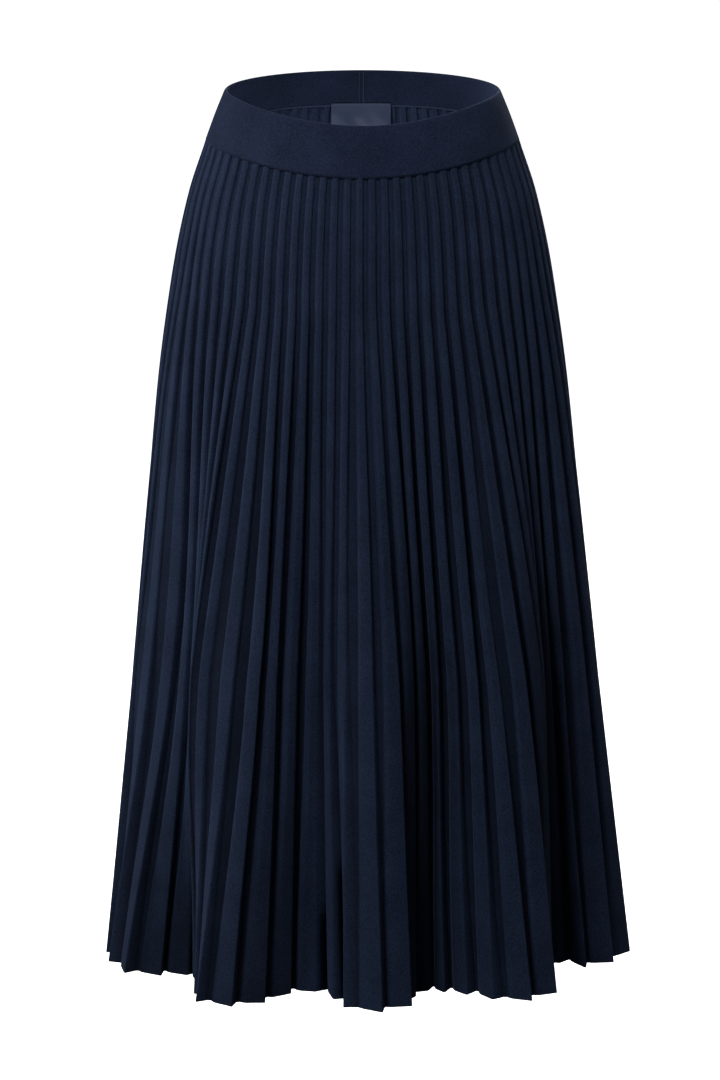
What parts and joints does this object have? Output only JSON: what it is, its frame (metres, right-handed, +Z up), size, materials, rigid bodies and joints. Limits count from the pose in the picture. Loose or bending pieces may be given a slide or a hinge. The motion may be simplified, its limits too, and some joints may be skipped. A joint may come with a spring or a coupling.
{
  "type": "pleated knit skirt",
  "caption": "Midi skirt in fine knit: a plain doubled waistband over standing pleats that fan out to a level hem, hollow, with a blank label inside the back.",
  "frame": {"origin": "middle of the waist opening, halfway down the waistband, where the skirt is held", "axes": "+Z up through the waist, -Y the front of the skirt, +X its wearer's left"},
  "size_m": [0.5129, 0.4197, 0.84],
  "materials": {
    "knit_band": "fine navy knit, matt",
    "knit_pleats": "fine navy knit, pleated, matt",
    "label_satin": "slate blue satin, soft sheen"
  },
  "bodies": {
    "root": {"waistband": "knit_band", "skirt_front": "knit_pleats", "skirt_back": "knit_pleats", "label": "label_satin"}
  },
  "joints": []
}
